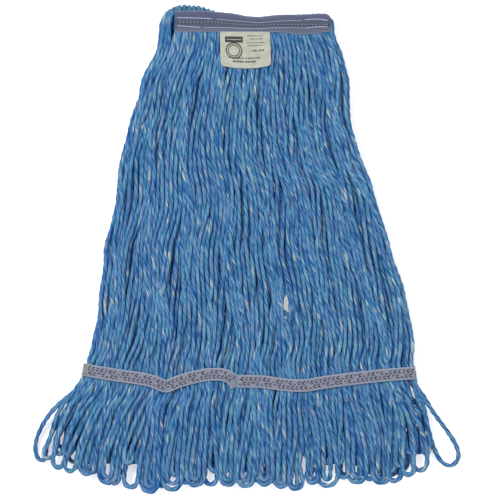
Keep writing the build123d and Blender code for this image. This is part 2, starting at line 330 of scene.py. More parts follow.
def half_layout(seed, front):
    """One half's strands: x and z at every slice, the y where each ends, and its loops."""
    rng = np.random.default_rng(seed)
    plan = loop_plan(rng, front)
    y = SLICE_Y[:, None]
    across = (np.arange(STRANDS) + 0.5) / STRANDS
    inset = YARN / 2 + (0.0 if front else 3.0)
    left, right = between(OUTLINE, y) + inset, between(OUTLINE, y, 2) - inset
    line = left + (right - left) * across
    target = line + wander(rng, STRANDS) * smooth((-y - 8) / 50) + clumps(rng, across)
    ends = np.full(STRANDS, STRAND_END)
    depth = rng.permutation(STRANDS) / STRANDS
    middle_y = tail_y if front else back_tail_y
    band = middle_y(line[BAND_SLICE])
    pairs = strand_pairs(plan, 2 if front else 0)
    for (middle_x, width, bottom, on_top, _), pair in zip(plan, pairs):
        pair = list(pair)
        ends[pair] = bottom + width / 2
        depth[pair] = np.clip(on_top + rng.uniform(-0.08, 0.08, 2), 0, 1)
        for strand, side in zip(pair, (-1, 1)):
            leftness = max(0.0, 1 - 2 * across[strand]) ** 3
            rightness = max(0.0, 2 * across[strand] - 1) ** 6
            fall = np.clip((band[strand] - SLICE_Y) / (band[strand] - ends[strand]), 0, 1)
            down = leftness * fall + (1 - leftness) * smooth(fall) ** (1.2 - 0.6 * rightness)
            target[:, strand] += down * (middle_x + side * width / 2 - target[:, strand])
    live = y >= ends - SLICE_GAP
    hold = 0.05 + 0.3 * smooth((ends + 30 - y) / 30)
    target = np.where(y > FRINGE_Y, np.clip(target, left, right), target)
    middle, top = between(HEIGHTS, y), between(HEIGHTS, y, 2)
    off_band = y - middle_y(line)
    pinch = bell(off_band, BAND_WIDTH)
    head = smooth((y + 20) / 10)
    if front:
        low = middle + 0.2 + 0.9 * bell(y - BACK_TAIL_Y, BAND_WIDTH)
        low = low + (HEAD_LOW - low) * head
        high = top - 1.3 * pinch - 1.2 * bell(off_band + 8.5, 3.6)
    else:
        low = 1.15 * pinch
        high = middle - 0.2 - 0.8 * pinch
        high = high + (HEAD_HIGH - high) * head
    width = np.full(target.shape, ROOM) * (1 - 0.16 * smooth((y + 45) / 40))
    level = low + width / 2 + depth * np.clip(high - low - width, 0.1, None)
    x, z = settle(target, hold, level, live, low, high, width, [*GAPS, CREASE] if front else GAPS)
    name = "front" if front else "back"
    return {"x": x, "z": z, "ends": ends, "plan": plan, "pairs": pairs, "name": name}


def curve_through(values, at):
    """A smooth curve through a column's values at every slice, read at any y."""
    place = np.clip((SLICE_Y[0] - at) / SLICE_GAP, 0, len(SLICE_Y) - 1.001)
    i = np.floor(place).astype(int)
    t = place - i
    last = len(SLICE_Y) - 1
    a, b = values[np.maximum(i - 1, 0)], values[i]
    c, d = values[np.minimum(i + 1, last)], values[np.minimum(i + 2, last)]
    return b + 0.5 * t * (c - a + t * (2 * a - 5 * b + 4 * c - d + t * (3 * (b - c) + d - a)))


def strand_points(half, strand, y_from, y_to):
    """Points down one strand, about 1 mm apart, from y_from to y_to."""
    y = np.linspace(y_from, y_to, max(3, int(abs(y_to - y_from)) + 1))
    return np.stack([curve_through(half["x"][:, strand], y), y, curve_through(half["z"][:, strand], y)], 1)


def band_crossing(half, strand):
    """The y where a strand passes under its tail band's middle line."""
    y = BACK_TAIL_Y
    for _ in range(6):
        x = curve_through(half["x"][:, strand], np.array([y]))
        y = float(tail_y(x)[0]) if half["name"] == "front" else BACK_TAIL_Y
    return y


# How far apart a loop's two strands are, at least, where it turns: small, long and nested loops.
LEAST_SPANS = (6.5, 11.0, 6.5)


def moved_end(line, by):
    """A strand's line with its lower end moved sideways, which fades out over its last stretch."""
    moved = line.copy()
    moved[:, 0] += by * smooth(1 - (line[:, 1] - line[-1, 1]) / 18)
    return moved


def loop_points(half, number):
    """One loop of the fringe: down one strand, round its lowest point and up the next strand."""
    bottom, kind = half["plan"][number, 2], int(half["plan"][number, 4])
    a, b = half["pairs"][number]
    end = half["ends"][a]
    down = strand_points(half, a, band_crossing(half, a), end)
    up = strand_points(half, b, band_crossing(half, b), end)
    apart = up[-1, 0] - down[-1, 0]
    side = -1 if apart < 0 else 1
    short = max(0.0, LEAST_SPANS[kind] - abs(apart)) / 2
    down, up = moved_end(down, -side * short), moved_end(up, side * short)
    turn = np.linspace(0, math.pi, 16)[1:-1]
    centre, half_span = (down[-1] + up[-1]) / 2, (up[-1] - down[-1]) / 2
    bend = centre[None, :] - np.cos(turn)[:, None] * half_span[None, :]
    bend[:, 1] -= np.sin(turn) * (end - bottom)
    return eased(np.vstack([down, bend, up[::-1]]), 0.5, 12)


# ---- yarn --------------------------------------------------------------------------------------
class Tubes:
    """Collects round strands, twisted ones by default, and turns them into one mesh."""

    def __init__(self, thick=YARN, sides=SIDES, plies=True):
        self.strands = []
        self.thick, self.sides, self.plies = thick, sides, plies
        self.round = TURN * np.arange(sides) / sides
        self.peak = np.arange(sides) % 2 == 0

    def add(self, points, seed, phase=0.0, start=0.0, across=False, size=(1, 1), sign=1):
        """One strand. across is for an arc that turns about X. Returns its phase at the end.

        sign is -1 where the line runs against the way the yarn's fibres are counted.
        """
        tangent = unit(np.gradient(points, axis=0))
        first = unit((1.0, 0, 0) - tangent * tangent[:, :1] if across else np.cross((0, 0, 1.0), tangent))
        second = np.cross(tangent, first)
        along = run(points)
        turn = phase - TURN * along / TWIST
        angle = (turn[:, None] + self.round)[..., None]
        count = start + sign * along
        thick = 0.97 + 0.05 * np.sin(count / 9.0 + seed * 1.7) + 0.04 * np.sin(count / 3.7 + seed * 0.9)
        thick = thick * np.interp(along, np.linspace(0, along[-1], len(size)), size)
        radius = self.thick / 2 * thick[:, None] * (np.where(self.peak, 1.05, 0.88) if self.plies else 1.0)
        out = np.cos(angle) * first[:, None, :] + np.sin(angle) * second[:, None, :]
        self.strands.append({
            "ring": points[:, None, :] + np.broadcast_to(radius, angle.shape[:2])[..., None] * out,
            "count": count, "along": along, "seed": seed, "sign": sign,
            # Near 1 where the surface looks up or down out of its half and near 0 on a strand's sides; the
            # yarn material paints shade on the sides, in the gaps between strands.
            "facing": np.hypot(out[..., 1] if across else 0, out[..., 2]),
        })
        return turn[-1] % (TURN)

    def mesh(self, name, material):
        """One mesh object of all the strands, with UVs as strips side by side."""
        sides = self.sides
        lengths = [s["along"][-1] for s in self.strands]
        square = math.sqrt(sum(lengths) * (self.thick * math.pi + 1.0))
        parts = max(1, round(max(lengths) / square))
        tall = max(lengths) / parts
        rows = max(1, round(square / tall))
        columns = math.ceil(parts * len(lengths) / rows)
        quads, quad_uv, caps, cap_uv, offset = [], [], [], [], 0
        marks = {"yarn_at": [], "ply_top": [], "tint": [], "facing": [], "nose_grey": []}
        for number, s in enumerate(self.strands):
            rings = len(s["ring"])
            at = np.empty((rings, sides, 3))
            at[..., 0] = np.cos(self.round) + 7.3 * s["seed"]
            at[..., 1] = s["sign"] * np.sin(self.round)
            at[..., 2] = s["count"][:, None] / 10.0
            marks["yarn_at"].append(at.reshape(-1, 3))
            # 1 on the plies' peaks and 0 in their valleys; the yarn material paints shade into the valleys.
            marks["ply_top"].append(np.tile(self.peak, rings))
            marks["tint"].append(np.full(rings * sides, s["seed"] * GOLDEN % 1.0))
            # Drives the painted shade on the strands' sides.
            marks["facing"].append(s["facing"].ravel())
            # This share rises from 0 at y 6 mm to 1 at y 14 mm, towards the fold's nose, where the yarn is
            # made greyer and greener.
            marks["nose_grey"].append(smooth((s["ring"][..., 1].ravel() - 6.0) / 8.0))
            grid = offset + np.arange(rings * sides).reshape(rings, sides)
            offset += rings * sides
            beside = np.roll(grid, -1, 1)
            quads.append(np.stack([grid[:-1], beside[:-1], beside[1:], grid[1:]], -1).reshape(-1, 4))
            along = s["along"]
            part = np.minimum((along[:-1] / (tall + 1e-9)).astype(int), parts - 1)
            column, row = np.divmod(number * parts + part, rows)
            u = [column[:, None] + 0.06 + 0.88 * (np.arange(sides) + side) / sides for side in (0, 1)]
            v = [np.broadcast_to((row + 0.01 + 0.97 * (end / tall - part))[:, None], u[0].shape)
                 for end in (along[:-1], along[1:])]
            corners = [np.stack([u[i], v[j]], -1) for i, j in ((0, 0), (1, 0), (1, 1), (0, 1))]
            quad_uv.append(np.stack(corners, -2).reshape(-1, 2))
            for cap, end in ((grid[0, ::-1], 0), (grid[-1], -1)):
                caps.append(cap)
                cap_uv.append(np.stack([u[0][end, 0] + 0.05 * (1 + np.cos(self.round)),
                                        v[0][end, 0] + 0.004 * (1 + np.sin(self.round))], 1))
        quads = np.vstack(quads)
        starts = np.concatenate([np.arange(len(quads)) * 4, quads.size + np.arange(len(caps)) * sides])
        verts = np.vstack([s["ring"].reshape(-1, 3) for s in self.strands])
        uv = np.vstack(quad_uv + cap_uv) / (columns, rows)
        o = raw_mesh(name, verts, np.concatenate([quads.ravel(), *caps]), starts, uv, material)
        for key, values in marks.items():
            store(o, key, np.concatenate(values))
        return o


def new_object(name, data):
    o = bpy.data.objects.new(name, data)
    bpy.context.scene.collection.objects.link(o)
    return o


def raw_mesh(name, verts, loops, starts, uv, material):
    """A smooth-shaded mesh object from arrays in millimetres."""
    mesh = bpy.data.meshes.new(name)
    mesh.vertices.add(len(verts))
    mesh.vertices.foreach_set("co", (verts * MM).astype(np.float32).ravel())
    mesh.loops.add(len(loops))
    mesh.loops.foreach_set("vertex_index", loops.astype(np.int32))
    mesh.polygons.add(len(starts))
    mesh.polygons.foreach_set("loop_start", starts.astype(np.int32))
    mesh.update(calc_edges=True)
    mesh.validate()
    mesh.polygons.foreach_set("use_smooth", np.ones(len(starts), bool))
    mesh.uv_layers.new(name="OFBake").data.foreach_set("uv", uv.astype(np.float32).ravel())
    mesh.materials.append(material)
    return new_object(name, mesh)


def store(o, name, values):
    """Writes a number or a vector for each point of a mesh."""
    kind, key = ("FLOAT_VECTOR", "vector") if values.ndim == 2 else ("FLOAT", "value")
    attribute = o.data.attributes.new(name, kind, "POINT")
    attribute.data.foreach_set(key, values.astype(np.float32).ravel())


# ---- materials ---------------------------------------------------------------------------------
class Look:
    """Builds one material, node by node."""

    def __init__(self, name):
        self.material = bpy.data.materials.new(name)
        self.material.use_nodes = True
        self.tree = self.material.node_tree
        self.shader = self.tree.nodes["Principled BSDF"]

    def feed(self, node, inputs):
        """Links a node's inputs, given by name or number, to sockets or sets their values."""
        for key, value in inputs.items():
            socket = node.inputs[key]
            if isinstance(value, bpy.types.NodeSocket):
                self.tree.links.new(value, socket)
            else:
                socket.default_value = (*value, 1.0) if socket.type == "RGBA" else value

    def node(self, kind, inputs, **settings):
        node = self.tree.nodes.new(kind)
        for key, value in settings.items():
            setattr(node, key, value)
        self.feed(node, inputs)
        return node

    def math(self, operation, *values):
        return self.node("ShaderNodeMath", dict(enumerate(values)), operation=operation).outputs[0]

    def times(self, a, b):
        return self.math("MULTIPLY", a, b)

    def plus(self, a, b):
        return self.math("ADD", a, b)

    def more(self, value, than):
        return self.math("GREATER_THAN", value, than)

    def mix(self, share, a, b, blend="MIX"):
        inputs = {0: share, 6: a, 7: b}
        return self.node("ShaderNodeMix", inputs, data_type="RGBA", blend_type=blend).outputs[2]

    def noise(self, vector, scale, detail, rough=0.5, shift=(0.0, 0.0, 0.0)):
        """Noise over a vector that is first scaled and moved along each axis."""
        place = self.node("ShaderNodeMapping", {"Vector": vector, "Scale": scale, "Location": shift})
        inputs = {"Vector": place.outputs[0], "Scale": 1.0, "Detail": detail, "Roughness": rough}
        return self.node("ShaderNodeTexNoise", inputs).outputs["Fac"]

    def ramp(self, value, *stops):
        node = self.node("ShaderNodeValToRGB", {"Fac": value})
        elements = node.color_ramp.elements
        while len(elements) < len(stops):
            elements.new(0.5)
        for element, (place, colour) in zip(elements, stops):
            element.position = place
            element.color = (*colour, 1.0)
        return node.outputs["Color"]

    def attribute(self, name, output="Fac"):
        return self.node("ShaderNodeAttribute", {}, attribute_name=name).outputs[output]

    def xyz(self, vector):
        return self.node("ShaderNodeSeparateXYZ", {0: vector}).outputs

    def inside_box(self, x, y, x0, x1, y0, y1):
        """1 inside a rectangle and 0 outside it."""
        across = self.times(self.more(x, x0), self.math("LESS_THAN", x, x1))
        return self.times(across, self.times(self.more(y, y0), self.math("LESS_THAN", y, y1)))

    def near(self, value, target, within):
        """1 where a value is close to its target and 0 elsewhere."""
        return self.math("COMPARE", value, target, within)

    def finish(self, colour, roughness, specular, height, strength, distance, sheen=()):
        """The material, with its colour, its surface and its bump, which is distance metres high."""
        bump = self.node("ShaderNodeBump", {"Strength": strength, "Distance": distance, "Height": height})
        self.feed(self.shader, {"Base Color": colour, "Roughness": roughness, "Specular IOR Level": specular,
                                "Normal": bump.outputs[0], **dict(sheen)})
        return self.material


def srgb(red, green, blue):
    """A colour given as 0 to 255 on screen, as the linear value that shaders take."""
    return tuple((v / 255 / 12.92) if v <= 10.3 else ((v / 255 + 0.055) / 1.055) ** 2.4
                 for v in (red, green, blue))


def grey(value):
    return (value,) * 3


# Fibres mixed into the yarn: noise scale along it, shift and detail, where they start and end in the
# noise, their greatest share, and their colour.
FIBRES = [
    (0.5, (3.0, 9.0, 1.0), 1.0, 0.52, 0.66, 0.6, srgb(116, 136, 172)),  # lilac
    (0.4, (8.0, 1.0, 5.0), 1.0, 0.55, 0.70, 0.55, srgb(92, 150, 160)),  # teal
    (0.65, (11.0, 4.0, 7.0), 1.5, 0.62, 0.72, 0.75, srgb(196, 198, 178)),  # flecks of undyed cotton
]


def yarn_material():
    """Soft blended yarn: blue plies with paler and greyer fibres, painted shade in the ply valleys and
    painted shade on the strands' sides, between neighbours.
    """
    look = Look("blue_yarn")
    at = look.attribute("yarn_at", "Vector")
    base = look.ramp(
        look.noise(at, (0.9, 0.9, 0.8), 2.5, 0.6), (0.33, srgb(28, 84, 146)), (0.45, srgb(62, 118, 168)),
        (0.55, srgb(95, 146, 184)), (0.68, srgb(136, 174, 194)))
    tint = look.ramp(
        look.attribute("tint"), (0.0, srgb(194, 216, 238)), (0.2, srgb(220, 240, 236)),
        (0.4, srgb(255, 255, 248)), (0.6, srgb(208, 224, 240)), (0.8, srgb(240, 236, 240)),
        (1.0, srgb(216, 240, 240)))
    base = look.mix(1.0, base, tint, "MULTIPLY")
    for along, shift, detail, start, end, most, colour in FIBRES:
        fibre = look.noise(at, (0.8, 0.8, along), detail, shift=shift)
        share = look.ramp(fibre, (start, grey(0)), (end, grey(most)))
        base = look.mix(share, base, colour)
    fibres = look.noise(at, (3.5, 3.5, 4.0), 3.0, 0.6)
    for share, value, *shades in (
        (0.8, fibres, (0.3, (0.68, 0.72, 0.76)), (0.7, (1.2, 1.18, 1.15))),
        # Painted shade: the valleys between the plies are darkened and tinted blue.
        (0.75, look.attribute("ply_top"), (0.0, srgb(158, 196, 226)), (0.7, grey(1))),
        # Painted shade: the strands' sides, which face their neighbours, are darkened to a deep blue.
        (1.0, look.attribute("facing"), (0.12, srgb(16, 110, 206)), (0.74, grey(1))),
    ):
        base = look.mix(share, base, look.ramp(value, *shades), "MULTIPLY")
    # The yarn turns greyer and greener towards the fold's nose.
    greyed = look.mix(1.0, base, (0.96, 0.86, 0.72), "MULTIPLY")
    base = look.mix(look.attribute("nose_grey"), base, greyed)
    sheen = {"Sheen Weight": 0.2, "Sheen Roughness": 0.5, "Sheen Tint": (0.35, 0.65, 1.0)}
    return look.finish(base, 0.9, 0.12, fibres, 0.5, 0.0006, sheen)


def woven(name, dark, light, pitch, slope, edge, rim=0.1, bands=None):
    """A woven tape: cloth_at holds the place along, the place across from 0 to 1, and the face.

    edge is the selvages' colour and rim their share of the width. bands tints the tape across it.
    """
    look = Look(name)
    across = look.xyz(look.attribute("cloth_at", "Vector"))[1]
    place = look.attribute("cloth_mm", "Vector")
    x, y, _ = look.xyz(place)
    twill = look.math("SINE", look.times(look.plus(x, look.times(y, slope)), TURN / pitch))
    weft = look.math("SINE", look.times(y, TURN / (0.6 * pitch)))
    ribs = look.plus(look.times(twill, 0.3), look.times(weft, 0.14))
    specks = look.noise(place, (0.9, 1.6, 1.0), 3.0, 0.7)
    height = look.plus(look.plus(ribs, -0.1), look.times(specks, 1.2))
    base = look.ramp(height, (0.2, dark), (0.8, light))
    if bands is not None:
        base = look.mix(1.0, base, look.ramp(across, *bands), "MULTIPLY")
    edges = look.ramp(
        across, (0.0, grey(0.8)), (0.6 * rim, grey(0.6)), (rim, grey(0)), (1 - rim, grey(0)),
        (1 - 0.6 * rim, grey(0.6)), (1.0, grey(0.8)))
    return look.finish(look.mix(edges, base, edge), 0.85, 0.25, height, 0.6, 0.0003, {"Sheen Weight": 0.2})


def thread_material(name, colour, pale):
    """Sewing thread: a fine twist and slightly uneven colour."""
    look = Look(name)
    height = look.noise(look.attribute("yarn_at", "Vector"), (1.0, 1.0, 6.0), 2.0)
    return look.finish(look.ramp(height, (0.3, colour), (0.7, pale)), 0.7, 0.3, height, 0.4, 0.0002)


# Generic marks printed on the label: left, right, top and bottom edge from its top left corner.
LABEL_BLOCK = (5.4, 22.4, 5.0, 10.8)
LABEL_STRIPE = (7.0, 20.8, 7.5, 8.4)
LABEL_BARS = [
    (27.0, 41.0, 4.0, 4.9), (29.0, 41.5, 7.0, 7.8), (26.0, 43.0, 10.6, 11.5), (27.0, 41.5, 13.2, 14.0),
    (28.0, 42.5, 17.6, 19.6), (7.5, 38.5, 25.0, 26.3), (12.5, 34.0, 27.9, 29.9),
]
LABEL_RING = (13.8, 18.6)  # its middle


def label_material():
    """Off-white label cloth with a dark block, a ring and plain bars in the place of its print."""
    look = Look("label_cloth")
    place = look.attribute("cloth_mm", "Vector")
    x, y, face = look.xyz(place)
    weave = look.plus(look.math("SINE", look.times(x, 13.0)), look.math("SINE", look.times(y, 11.0)))
    height = look.plus(look.times(weave, 0.1), look.noise(place, grey(0.15), 3.0))
    cloth = look.ramp(height, (0.3, srgb(158, 160, 145)), (0.7, srgb(178, 180, 166)))
    stripe = look.times(look.inside_box(x, y, *LABEL_STRIPE), -0.7)
    ink = look.plus(look.inside_box(x, y, *LABEL_BLOCK), stripe)
    dx, dy = (look.plus(value, -middle) for value, middle in zip((x, y), LABEL_RING))
    radius = look.math("SQRT", look.plus(look.times(dx, dx), look.times(dy, dy)))
    dots = look.times(look.more(look.noise(place, grey(1.1), 1.0), 0.5), 0.6)
    for ring in (look.near(radius, 7.5, 0.5), look.near(radius, 5.2, 0.4),
                 look.times(look.near(radius, 6.4, 0.6), dots)):
        ink = look.plus(ink, ring)
    breaks = look.times(look.more(look.noise(place, (1.1, 0.132, 1.1), 1.0), 0.42), 0.75)
    for bar in LABEL_BARS:
        ink = look.plus(ink, look.times(look.inside_box(x, y, *bar), breaks))
    printed = look.times(look.math("MINIMUM", ink, 0.93), look.more(face, 0.5))
    return look.finish(look.mix(printed, cloth, srgb(26, 28, 30)), 0.75, 0.3, height, 0.3, 0.0002)


YARN_LOOK = yarn_material()
HEADBAND_LOOK = woven(
    "headband_cloth", srgb(58, 62, 84), srgb(122, 124, 146), 2.1, -0.8, srgb(132, 138, 158), 0.04,
    [(0.0, (0.86, 0.9, 0.86)), (0.19, (0.86, 0.9, 0.86)), (0.24, (0.58, 0.66, 0.64)),
     (0.58, (0.58, 0.66, 0.64)), (0.64, (0.62, 0.64, 0.76)), (1.0, (0.62, 0.64, 0.76))],
)
TAIL_LOOK = woven("tail_cloth", srgb(90, 98, 112), srgb(148, 150, 164), 1.9, 0.9, srgb(150, 158, 178))
PALE_THREAD = thread_material("pale_thread", srgb(150, 150, 182), srgb(196, 196, 220))
GREY_THREAD = thread_material("grey_thread", srgb(126, 126, 144), srgb(178, 174, 190))
DARK_THREAD = thread_material("dark_thread", srgb(22, 26, 46), srgb(46, 48, 70))
CREAM_THREAD = thread_material("cream_thread", srgb(122, 126, 106), srgb(190, 190, 164))
LABEL_LOOK = label_material()

# ---- the strands -------------------------------------------------------------------------------
FRONT_SEED, BACK_SEED = 11, 23
front_half = half_layout(FRONT_SEED, True)
back_half = half_layout(BACK_SEED, False)
# How thick the yarn is along a strand, along a long or top loop and round the fold.
HEAD_SIZE = np.interp(np.linspace(SEAM_Y, BACK_TAIL_Y, 40), [-60, -20, SEAM_Y], [1, 0.9, 0.84])
LOOP_SIZE = (1.0, 1.06, 1.1, 1.1, 1.1, 1.06, 1.0)
FOLD_SIZE = (0.84, 0.98, 0.84)
FRINGE_COUNT = {"front": 350.0, "back": -400.0}  # where the fibres' count goes on in the loops


def seam_points(half):
    """Where each strand meets its arc round the fold."""
    return np.array([strand_points(half, n, SEAM_Y, SEAM_Y - 2)[0] for n in range(STRANDS)])


LAYERS = (0.0, 0.2, 0.6, 1.0)  # how far inside the outermost line the strands of a group turn


def fold_plan():
    """For each front strand: its back strand, its x at the nose and its layer there.

    Strands are taken in groups of four across the head, and outer ones turn into outer ones.
    """
    front, back = seam_points(front_half), seam_points(back_half)
    front_order, back_order = np.argsort(front[:, 0]), np.argsort(back[:, 0])
    wide = np.pad(front[front_order, 0], 8, mode="reflect", reflect_type="odd")
    spread = np.convolve(wide, np.full(17, 1 / 17), "valid")
    plan = {}
    for start in range(0, STRANDS, 4):
        some_front = sorted(front_order[start:start + 4], key=lambda n: -front[n, 2])
        some_back = sorted(back_order[start:start + 4], key=lambda n: back[n, 2])
        for layer, (strand, other) in enumerate(zip(some_front, some_back)):
            plan[strand] = (other, spread[start + 1] + (layer % 2) * ROOM / 2, LAYERS[layer])
    return plan, front, back


def arc_points(front, back, nose_x, inside):
    """A strand's way round the fold, outside the clamp's channel, from the front to the back."""
    nose_x = nose_x + 8 * smooth((-70 - nose_x) / 18) - 4 * smooth((nose_x - 62) / 12)
    outer_y = between(NOSE, nose_x) - 2.0
    reach = outer_y + inside * (min(3.0, outer_y - 1.0) - outer_y)
    turn = np.linspace(0, math.pi, 41)
    x = front[0] + (back[0] - front[0]) * smooth(turn / math.pi)
    x += (nose_x - (front[0] + back[0]) / 2) * np.sin(turn) ** 2
    y = SEAM_Y + (reach - SEAM_Y) * np.abs(np.sin(turn)) ** FOLD_POWER
    height = np.where(turn < math.pi / 2, front[2], back[2]) - FOLD_Z
    z = FOLD_Z + height * np.abs(np.cos(turn)) ** FOLD_POWER
    return eased(np.stack([x, y, z], 1), 0.5, 3)


def piece(o, replaced=(), body=None):
    """Hides the CAD nodes that a piece replaces and attaches it to the body that it rides with."""
    if replaced:
        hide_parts(*replaced)
    if body:
        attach(o, body)
    return o


yarns = {}  # for each strand: its seed, and its phase, fibre count and direction where it goes on
fold = Tubes()
turns, front_seams, back_seams = fold_plan()
for strand, (other, nose_x, layer) in turns.items():
    points = even(arc_points(front_seams[strand], back_seams[other], nose_x, layer))
    phase = strand * GOLDEN_TURN % TURN
    end_phase = fold.add(points, strand, -phase, 0.0, True, FOLD_SIZE, -1)
    yarns["front", strand] = (strand, phase, 0.0, 1)
    yarns["back", other] = (strand, end_phase, -run(points)[-1], -1)
fold_piece = piece(fold.mesh("fold_yarn", YARN_LOOK), ("front_fold_yarn", "back_fold_yarn"))
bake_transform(fold_piece)


def strands_piece(half, group):
    """A fifth of a half's strands, from under the headband tape to under the tail band."""
    name, tubes = half["name"], Tubes()
    per = STRANDS // GROUPS
    for strand in range(group * per, (group + 1) * per):
        points = strand_points(half, strand, SEAM_Y, band_crossing(half, strand))
        seed, phase, count, sign = yarns[name, strand]
        phase = tubes.add(even(points), seed, phase, count, False, HEAD_SIZE, sign)
        yarns[name, strand] = (seed, phase, FRINGE_COUNT[name], sign)
    replaced = (f"{name}_yarn_{group + 1}", f"{name}_head_yarn")
    piece(tubes.mesh(f"{name}_strands_{group + 1}", YARN_LOOK), replaced, f"{name}_half")


def route_points(route):
    """Points along the smooth line that a loose loop's route controls."""
    curve = bpy.data.curves.new("route", "CURVE")
    curve.dimensions = "3D"
    curve.resolution_u = 16
    spline = curve.splines.new("NURBS")
    spline.points.add(len(route) - 1)
    for point, place in zip(spline.points, route):
        point.co = (*[v * MM for v in place], 1.0)
    spline.order_u = 3
    spline.use_endpoint_u = True
    o = new_object("route", curve)
    bpy.context.view_layer.update()
    graph = bpy.context.evaluated_depsgraph_get()
    mesh = bpy.data.meshes.new_from_object(o.evaluated_get(graph))
    points = np.array([v.co for v in mesh.vertices]) / MM
    bpy.data.objects.remove(o)
    return even(points)


def lead(strand, target, towards):
    """The short way from under the tail band to where a loose loop leaves the fringe."""
    crossing = band_crossing(front_half, strand)
    down = strand_points(front_half, strand, crossing, crossing - 3)
    a = down[0]
    reach = np.linalg.norm(target - a) / 2.6
    b, c = a + unit(down[-1] - a) * reach, target - unit(towards) * reach
    t = np.linspace(0, 1, 24)[:, None]
    return even(a * (1 - t) ** 3 + 3 * b * t * (1 - t) ** 2 + 3 * c * t * t * (1 - t) + target * t ** 3)


def yarn_cord(name, points, yarn, replaced=(), body=None):
    """One strand as a piece of its own, which lies loose on the object."""
    tubes = Tubes()
    tubes.add(points, *yarn)
    o = piece(tubes.mesh(name, YARN_LOOK), replaced, body)
    return o


def loose_loop(name, route, strands, tubes):
    """A loop that lies clear of the rest: a cord, and its two leads, which stay with the fringe."""
    points = route_points(route)
    first = lead(strands[0], points[0], points[1] - points[0])
    last = lead(strands[1], points[-1], points[-2] - points[-1])
    seed, phase, count, _ = yarns["front", strands[0]]
    phase = tubes.add(first, seed, phase, count)
    tubes.add(last, seed + 300, 0.0, count)
    yarn_cord(f"{name}_yarn", points, (seed, phase, count + run(first)[-1]), (name,), name)


def bend_with_fringe(o):
    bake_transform(o)


def fringe(half):
    """A half's loops: the long ones are pieces of their own, and the rest one piece a group."""
    name, front = half["name"], half["name"] == "front"
    groups = [Tubes() for _ in range(GROUPS)]
    if front:
        loose_loop("left_loop", LEFT_LOOP, (0, 1), groups[0])
        loose_loop("right_loop", RIGHT_LOOP, (STRANDS - 1, STRANDS - 2), groups[-1])
    long_count = 0
    for number, (strand, _) in enumerate(half["pairs"][:len(half["plan"])]):
        seed, phase, count, sign = yarns[name, strand]
        yarn = (seed, phase, count, False, LOOP_SIZE if front else (1, 1), sign)
        points = even(loop_points(half, number))
        if half["plan"][number, 4] == 1:
            long_count += 1
            bend_with_fringe(yarn_cord(f"long_loop_{long_count:02d}", points, yarn))
        else:
            groups[strand * GROUPS // STRANDS].add(points, *yarn)
    for group, tubes in enumerate(groups, 1):
        o = piece(tubes.mesh(f"{name}_loops_{group}", YARN_LOOK), (f"{name}_fringe_{group}",))
        if front:
            bend_with_fringe(o)
        else:
            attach(o, "back_half")


for group in range(GROUPS):
    strands_piece(front_half, group)
    strands_piece(back_half, group)
fringe(front_half)
fringe(back_half)

# ---- tapes, stitching and label ----------------------------------------------------------------
TAPE_THICK = 0.7
TAIL_THICK = 0.9
TAIL_TOP = 17.1


def cloth(name, top, thickness, material):
    """A tape or label of one thickness, from a grid of points on its outer face.

    Rows of the grid run along the piece and columns across it. The outer face looks along
    the cross product of the two.
    """
    rows, columns = top.shape[:2]
    normal = unit(np.cross(np.gradient(top, axis=0), np.gradient(top, axis=1)))
    outer = np.arange(rows * columns).reshape(rows, columns)
    inner = outer + rows * columns
    loops, uvs = [], []
    for grid, u0, v0, u1, v1, turned in (
        (outer, 0.01, 0.52, 0.98, 0.98, False), (inner[:, ::-1], 0.01, 0.02, 0.98, 0.46, False),
        (np.stack([inner[:, 0], outer[:, 0]], 1), 0.01, 0.472, 0.98, 0.482, False),
        (np.stack([outer[:, -1], inner[:, -1]], 1), 0.01, 0.492, 0.98, 0.502, False),
        (np.stack([outer[0], inner[0]], 1), 0.984, 0.02, 0.988, 0.98, True),
        (np.stack([inner[-1], outer[-1]], 1), 0.992, 0.02, 0.996, 0.98, True),
    ):
        n, m = grid.shape
        if turned:
            at = np.stack(np.meshgrid(np.linspace(u0, u1, m), np.linspace(v0, v1, n)), -1)
        else:
            at = np.stack(np.meshgrid(np.linspace(u0, u1, n), np.linspace(v0, v1, m), indexing="ij"), -1)
        for values, corners in ((grid, loops), (at, uvs)):
            corners.append(np.stack([values[:-1, :-1], values[1:, :-1], values[1:, 1:], values[:-1, 1:]], 2))
    loops = np.concatenate([part.ravel() for part in loops])
    verts = np.concatenate([top.reshape(-1, 3), (top - thickness * normal).reshape(-1, 3)])
    uv = np.vstack([part.reshape(-1, 2) for part in uvs])
    o = raw_mesh(name, verts, loops, np.arange(len(loops) // 4) * 4, uv, material)
    along, across = np.meshgrid(run(top[:, columns // 2]), run(top[rows // 2]), indexing="ij")
    for key, x, y in (
        ("cloth_at", along / along.max(), across / across.max()),
        ("cloth_mm", along, across.max() - across),
    ):
        both = [np.stack([x, y, np.full_like(x, face)], -1).reshape(-1, 3) for face in (1.0, 0.0)]
        store(o, key, np.concatenate(both))
    return o


def headband_points(x, raised=0.0):
    """The tape's outer face at x, as points from its lower edge up and over the fold."""
    top = TAPE_TOP + 0.12 * math.sin(x / 9.0) - 1.4 * float(smooth((x - 66) / 6)) ** 2 + raised
    reach = float(between(NOSE, x)) + 0.8 + raised
    flat = np.linspace(float(between(TAPE_EDGE, x)), SEAM_Y, 12)[:-1]
    turn = np.linspace(0, math.pi * 0.75, 60)  # 0 on top and a quarter turn at the nose
    y = SEAM_Y + (reach - SEAM_Y) * np.abs(np.sin(turn)) ** FOLD_POWER
    z = FOLD_Z + (top - FOLD_Z) * np.abs(np.cos(turn)) ** FOLD_POWER * np.sign(np.cos(turn))
    line = np.column_stack([np.append(flat, y), np.append(np.full(len(flat), top), z)])
    line = np.insert(line, 0, x, axis=1)
    return at_distances(line, np.linspace(0, TAPE_WIDTH, 2 * int(TAPE_WIDTH) + 1))


